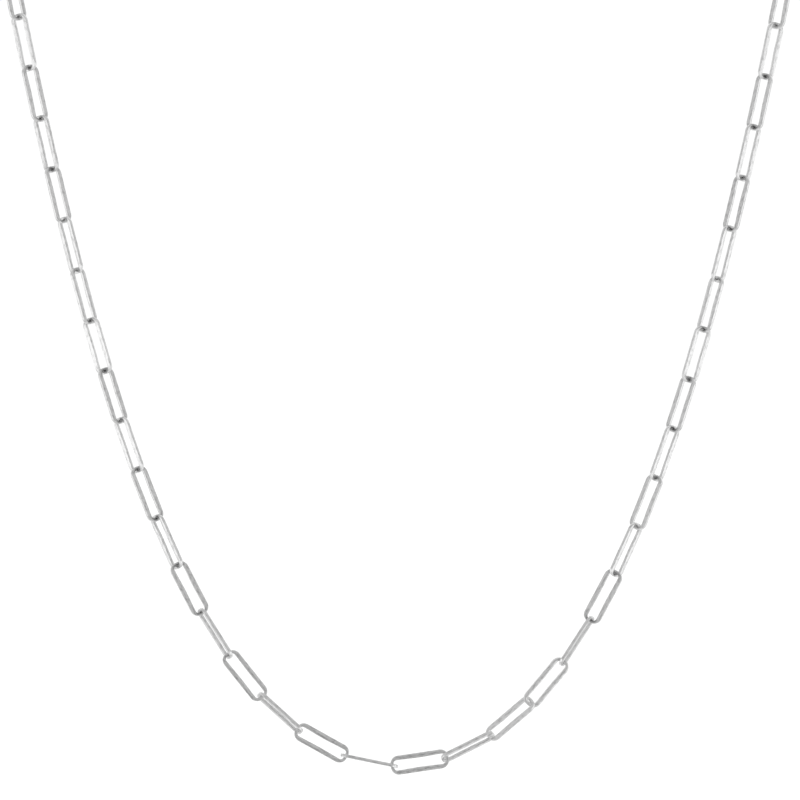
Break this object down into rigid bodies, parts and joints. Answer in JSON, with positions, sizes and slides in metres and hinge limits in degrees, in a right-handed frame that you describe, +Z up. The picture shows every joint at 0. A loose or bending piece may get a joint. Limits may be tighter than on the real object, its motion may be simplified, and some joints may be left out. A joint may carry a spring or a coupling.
{
  "type": "paperclip chain necklace",
  "caption": "Necklace of long rounded links with flat sides, closed round the neck by a plain ring clasp, held in the form it has when worn.",
  "frame": {"origin": "middle of the clasp, where the necklace lies on the nape of the neck", "axes": "+X across the neck to the viewer's right, -Y towards the viewer, +Z up; the front of the chain hangs in one upright plane"},
  "size_m": [0.1384, 0.0704, 0.1728],
  "materials": {
    "silver_wire": "polished sterling silver wire, its sides pressed flat",
    "silver_clasp": "polished sterling silver, round tube"
  },
  "bodies": {
    "root": {"front_chain": "silver_wire", "back_chain": "silver_wire", "clasp": "silver_clasp"}
  },
  "joints": []
}
